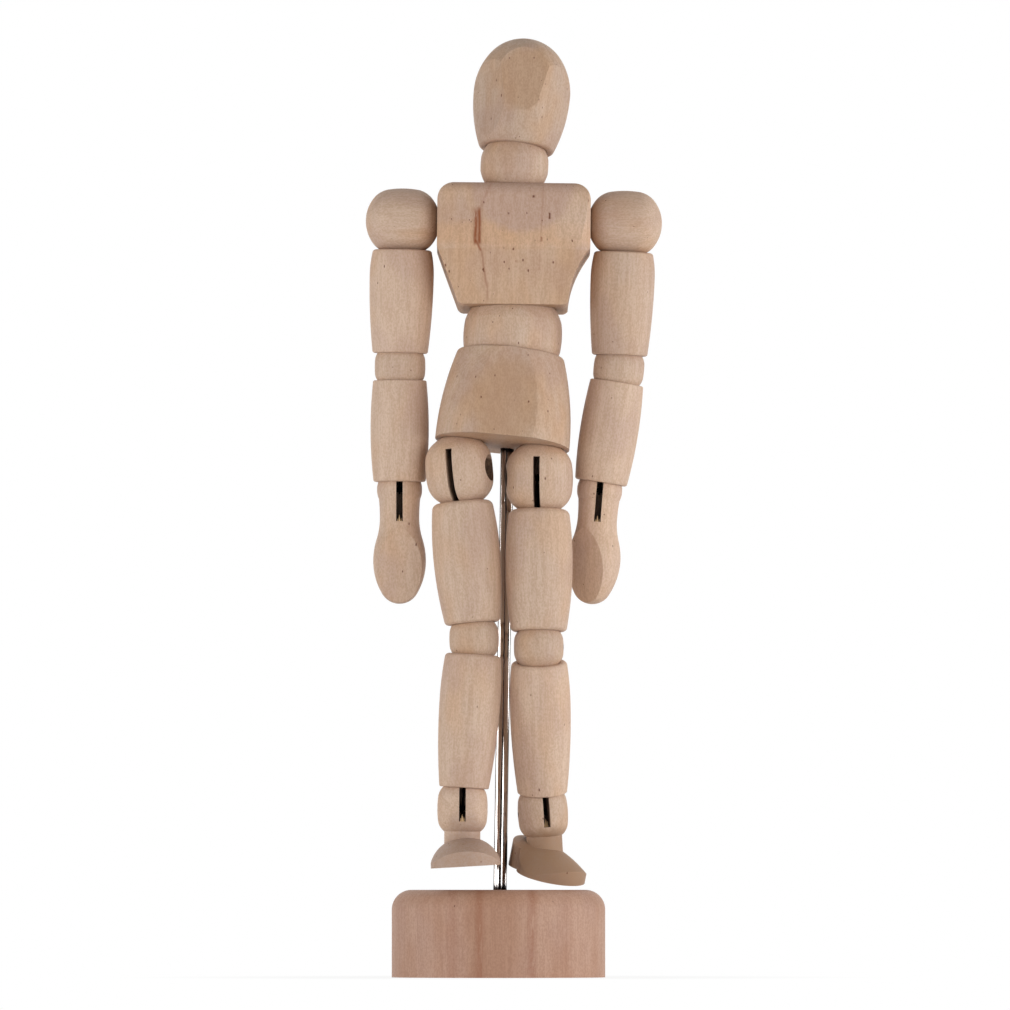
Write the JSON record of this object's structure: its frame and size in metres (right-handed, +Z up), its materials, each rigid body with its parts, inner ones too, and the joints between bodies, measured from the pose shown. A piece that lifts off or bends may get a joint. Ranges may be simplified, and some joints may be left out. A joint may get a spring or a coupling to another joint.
{
  "type": "artist's wooden figure",
  "caption": "Jointed wooden drawing figure of turned limbs, slotted balls and beads held by inner springs, posed on a steel rod above a round wooden base.",
  "frame": {"origin": "middle of the underside of the base, on the floor", "axes": "+Z up, the figure faces -Y, and its own left hand is at +X"},
  "size_m": [0.0955, 0.0688, 0.3032],
  "materials": {
    "figure_wood": "sanded pale hardwood, unvarnished, with fine upright grain and small dark pores",
    "base_wood": "sanded hardwood of a redder tone, grain upright on the rim",
    "rod_steel": "bright drawn rod",
    "pin_steel": "plain wire pin",
    "spring_steel": "drawn spring wire"
  },
  "bodies": {
    "stand": {"base": "base_wood", "rod": "rod_steel"},
    "pelvis": {"pelvis": "figure_wood", "pelvis_pin": "pin_steel", "right_hip_spring": "spring_steel", "left_hip_spring": "spring_steel"},
    "waist_bead": {"waist_bead": "figure_wood", "waist_spring": "spring_steel"},
    "chest": {"chest": "figure_wood", "chest_waist_pin": "pin_steel", "chest_neck_pin": "pin_steel", "shoulder_spring": "spring_steel"},
    "neck_bead": {"neck_bead": "figure_wood"},
    "neck_spring": {"neck_spring": "spring_steel"},
    "head": {"head": "figure_wood", "head_pin": "pin_steel"},
    "right_shoulder_ball": {"right_shoulder_ball": "figure_wood"},
    "right_shoulder_pin": {"right_shoulder_pin": "pin_steel", "right_upper_arm_spring": "spring_steel"},
    "right_upper_arm": {"right_upper_arm": "figure_wood"},
    "right_elbow_bead": {"right_elbow_bead": "figure_wood"},
    "right_elbow_pin": {"right_elbow_pin": "pin_steel", "right_forearm_spring": "spring_steel"},
    "right_forearm": {"right_forearm": "figure_wood"},
    "right_wrist_pin": {"right_wrist_pin": "pin_steel"},
    "right_hand": {"right_hand": "figure_wood"},
    "right_hip_ball": {"right_hip_ball": "figure_wood"},
    "right_hip_pin": {"right_hip_pin": "pin_steel", "right_thigh_spring": "spring_steel"},
    "right_thigh": {"right_thigh": "figure_wood"},
    "right_knee_bead": {"right_knee_bead": "figure_wood"},
    "right_knee_pin": {"right_knee_pin": "pin_steel", "right_shin_spring": "spring_steel"},
    "right_shin": {"right_shin": "figure_wood"},
    "right_ankle_pin": {"right_ankle_pin": "pin_steel"},
    "right_foot": {"right_foot": "figure_wood"},
    "left_shoulder_ball": {"left_shoulder_ball": "figure_wood"},
    "left_shoulder_pin": {"left_shoulder_pin": "pin_steel", "left_upper_arm_spring": "spring_steel"},
    "left_upper_arm": {"left_upper_arm": "figure_wood"},
    "left_elbow_bead": {"left_elbow_bead": "figure_wood"},
    "left_elbow_pin": {"left_elbow_pin": "pin_steel", "left_forearm_spring": "spring_steel"},
    "left_forearm": {"left_forearm": "figure_wood"},
    "left_wrist_pin": {"left_wrist_pin": "pin_steel"},
    "left_hand": {"left_hand": "figure_wood"},
    "left_hip_ball": {"left_hip_ball": "figure_wood"},
    "left_hip_pin": {"left_hip_pin": "pin_steel", "left_thigh_spring": "spring_steel"},
    "left_thigh": {"left_thigh": "figure_wood"},
    "left_knee_bead": {"left_knee_bead": "figure_wood"},
    "left_knee_pin": {"left_knee_pin": "pin_steel", "left_shin_spring": "spring_steel"},
    "left_shin": {"left_shin": "figure_wood"},
    "left_ankle_pin": {"left_ankle_pin": "pin_steel"},
    "left_foot": {"left_foot": "figure_wood"}
  },
  "joints": [
    {"name": "figure_turn", "type": "hinge", "parent": "stand", "child": "pelvis", "pos_m": [0.00282, 0, 0.17028], "axis": [0.0166, 0, 0.9999], "continuous": true},
    {"name": "waist_bow", "type": "hinge", "parent": "pelvis", "child": "waist_bead", "pos_m": [0.00457, -0.00469, 0.2067], "axis": [0.9999, 0, -0.0105], "range_deg": [-2, 20], "deforming": ["waist_spring"]},
    {"name": "waist_twist", "type": "hinge", "parent": "waist_bead", "child": "chest", "pos_m": [0.00457, -0.00469, 0.2067], "axis": [0.0104, 0.0698, 0.9975], "range_deg": [-5, 5], "deforming": ["waist_spring"]},
    {"name": "neck_nod", "type": "hinge", "parent": "chest", "child": "neck_bead", "pos_m": [0.00515, -0.00083, 0.26186], "axis": [0.9999, 0, -0.0105], "range_deg": [-10, 30], "deforming": ["neck_spring"]},
    {"name": "neck_twist", "type": "hinge", "parent": "neck_bead", "child": "neck_spring", "pos_m": [0.00515, -0.00083, 0.26186], "axis": [0.0561, 0.1478, 0.9874], "range_deg": [-70, 70], "deforming": ["neck_spring"]},
    {"name": "head_tilt", "type": "hinge", "parent": "neck_spring", "child": "head", "pos_m": [0.00515, -0.00083, 0.26186], "axis": [-0.0231, 0.9744, -0.2238], "range_deg": [-15, 15], "deforming": ["neck_spring"]},
    {"name": "right_shoulder_swing", "type": "hinge", "parent": "chest", "child": "right_shoulder_ball", "pos_m": [-0.03084, -0.00212, 0.24378], "axis": [-0.9999, 0, 0.0105], "range_deg": [-30, 100], "deforming": ["shoulder_spring"]},
    {"name": "right_shoulder_raise", "type": "hinge", "parent": "right_shoulder_ball", "child": "right_shoulder_pin", "pos_m": [-0.03084, -0.00212, 0.24378], "axis": [0, 1, 0], "range_deg": [0, 80]},
    {"name": "right_upper_arm_twist", "type": "hinge", "parent": "right_shoulder_pin", "child": "right_upper_arm", "pos_m": [-0.03084, -0.00212, 0.24378], "axis": [0.0209, 0, 0.9998], "range_deg": [-15, 75], "deforming": ["right_upper_arm_spring"]},
    {"name": "right_elbow_bend_upper", "type": "hinge", "parent": "right_upper_arm", "child": "right_elbow_bead", "pos_m": [-0.03182, -0.00212, 0.19679], "axis": [0, 1, 0], "range_deg": [0, 24]},
    {"name": "right_elbow_bend_lower", "type": "hinge", "parent": "right_elbow_bead", "child": "right_elbow_pin", "pos_m": [-0.03182, -0.00212, 0.19679], "axis": [0, 1, 0], "range_deg": [0, 24]},
    {"name": "right_forearm_twist", "type": "hinge", "parent": "right_elbow_pin", "child": "right_forearm", "pos_m": [-0.03182, -0.00212, 0.19679], "axis": [0.0017, 0, 1], "range_deg": [-45, 60], "deforming": ["right_forearm_spring"]},
    {"name": "right_wrist_twist", "type": "hinge", "parent": "right_forearm", "child": "right_wrist_pin", "pos_m": [-0.03189, -0.00212, 0.15719], "axis": [0.0017, 0, 1], "range_deg": [-60, 60], "deforming": ["right_forearm_spring"]},
    {"name": "right_wrist_bend", "type": "hinge", "parent": "right_wrist_pin", "child": "right_hand", "pos_m": [-0.03189, -0.00212, 0.15719], "axis": [-1, 0, 0], "range_deg": [-8, 45]},
    {"name": "right_hip_turn", "type": "hinge", "parent": "pelvis", "child": "right_hip_ball", "pos_m": [-0.01259, -0.01063, 0.16303], "axis": [0.0933, -0.0285, -0.9952], "range_deg": [-10, 25], "deforming": ["right_hip_spring"]},
    {"name": "right_hip_bend", "type": "hinge", "parent": "right_hip_ball", "child": "right_hip_pin", "pos_m": [-0.01259, -0.01063, 0.16303], "axis": [-0.9517, 0.291, -0.0976], "range_deg": [-3, 75]},
    {"name": "right_thigh_twist", "type": "hinge", "parent": "right_hip_pin", "child": "right_thigh", "pos_m": [-0.01259, -0.01063, 0.16303], "axis": [0.0882, -0.0452, -0.9951], "range_deg": [-10, 20], "deforming": ["right_thigh_spring"]},
    {"name": "right_knee_bend_upper", "type": "hinge", "parent": "right_thigh", "child": "right_knee_bead", "pos_m": [-0.00779, -0.01308, 0.1089], "axis": [0.7071, 0.7071, -0.0092], "range_deg": [0, 22]},
    {"name": "right_knee_bend_lower", "type": "hinge", "parent": "right_knee_bead", "child": "right_knee_pin", "pos_m": [-0.00779, -0.01308, 0.1089], "axis": [0.7071, 0.7071, -0.0092], "range_deg": [0, 22]},
    {"name": "right_shin_twist", "type": "hinge", "parent": "right_knee_pin", "child": "right_shin", "pos_m": [-0.00779, -0.01308, 0.1089], "axis": [-0.069, 0, -0.9976], "range_deg": [-15, 20], "deforming": ["right_shin_spring"]},
    {"name": "right_ankle_twist", "type": "hinge", "parent": "right_shin", "child": "right_ankle_pin", "pos_m": [-0.01157, -0.01308, 0.05433], "axis": [-0.069, 0, -0.9976], "range_deg": [-10, 20], "deforming": ["right_shin_spring"]},
    {"name": "right_ankle_bend", "type": "hinge", "parent": "right_ankle_pin", "child": "right_foot", "pos_m": [-0.01157, -0.01308, 0.05433], "axis": [-1, 0, 0.0087], "range_deg": [-15, 20]},
    {"name": "left_shoulder_swing", "type": "hinge", "parent": "chest", "child": "left_shoulder_ball", "pos_m": [0.04075, -0.00212, 0.24303], "axis": [-0.9999, 0, 0.0105], "range_deg": [-30, 100], "deforming": ["shoulder_spring"]},
    {"name": "left_shoulder_raise", "type": "hinge", "parent": "left_shoulder_ball", "child": "left_shoulder_pin", "pos_m": [0.04075, -0.00212, 0.24303], "axis": [0, -1, 0], "range_deg": [0, 80]},
    {"name": "left_upper_arm_twist", "type": "hinge", "parent": "left_shoulder_pin", "child": "left_upper_arm", "pos_m": [0.04075, -0.00212, 0.24303], "axis": [-0.0401, 0, -0.9992], "range_deg": [-15, 75], "deforming": ["left_upper_arm_spring"]},
    {"name": "left_elbow_bend_upper", "type": "hinge", "parent": "left_upper_arm", "child": "left_elbow_bead", "pos_m": [0.03887, -0.00212, 0.19607], "axis": [0, -1, 0], "range_deg": [0, 24]},
    {"name": "left_elbow_bend_lower", "type": "hinge", "parent": "left_elbow_bead", "child": "left_elbow_pin", "pos_m": [0.03887, -0.00212, 0.19607], "axis": [0, -1, 0], "range_deg": [0, 24]},
    {"name": "left_forearm_twist", "type": "hinge", "parent": "left_elbow_pin", "child": "left_forearm", "pos_m": [0.03887, -0.00212, 0.19607], "axis": [-0.1582, 0, -0.9874], "range_deg": [-45, 60], "deforming": ["left_forearm_spring"]},
    {"name": "left_wrist_twist", "type": "hinge", "parent": "left_forearm", "child": "left_wrist_pin", "pos_m": [0.03261, -0.00212, 0.15697], "axis": [-0.1582, 0, -0.9874], "range_deg": [-60, 60], "deforming": ["left_forearm_spring"]},
    {"name": "left_wrist_bend", "type": "hinge", "parent": "left_wrist_pin", "child": "left_hand", "pos_m": [0.03261, -0.00212, 0.15697], "axis": [-0.9969, 0, 0.0785], "range_deg": [-8, 12]},
    {"name": "left_hip_turn", "type": "hinge", "parent": "pelvis", "child": "left_hip_ball", "pos_m": [0.01309, -0.01063, 0.16056], "axis": [-0.0035, 0.0003, 1], "range_deg": [-25, 0], "deforming": ["left_hip_spring"]},
    {"name": "left_hip_bend", "type": "hinge", "parent": "left_hip_ball", "child": "left_hip_pin", "pos_m": [0.01309, -0.01063, 0.16056], "axis": [-0.9962, 0.0872, -0.0035], "range_deg": [-3, 75]},
    {"name": "left_thigh_twist", "type": "hinge", "parent": "left_hip_pin", "child": "left_thigh", "pos_m": [0.01309, -0.01063, 0.16056], "axis": [0.0026, 0.0698, 0.9976], "range_deg": [-25, 0], "deforming": ["left_thigh_spring"]},
    {"name": "left_knee_bend_upper", "type": "hinge", "parent": "left_thigh", "child": "left_knee_bead", "pos_m": [0.01295, -0.01442, 0.10629], "axis": [0.9962, -0.0872, 0.0044], "range_deg": [0, 22]},
    {"name": "left_knee_bend_lower", "type": "hinge", "parent": "left_knee_bead", "child": "left_knee_pin", "pos_m": [0.01295, -0.01442, 0.10629], "axis": [0.9962, -0.0872, 0.0044], "range_deg": [0, 22]},
    {"name": "left_shin_twist", "type": "hinge", "parent": "left_knee_pin", "child": "left_shin", "pos_m": [0.01295, -0.01442, 0.10629], "axis": [-0.0247, -0.2236, 0.9744], "range_deg": [-15, 20], "deforming": ["left_shin_spring"]},
    {"name": "left_ankle_twist", "type": "hinge", "parent": "left_shin", "child": "left_ankle_pin", "pos_m": [0.0143, -0.00219, 0.053], "axis": [-0.0247, -0.2236, 0.9744], "range_deg": [0, 20], "deforming": ["left_shin_spring"]},
    {"name": "left_ankle_bend", "type": "hinge", "parent": "left_ankle_pin", "child": "left_foot", "pos_m": [0.0143, -0.00219, 0.053], "axis": [-0.9855, -0.1561, -0.0663], "range_deg": [0, 20]}
  ]
}
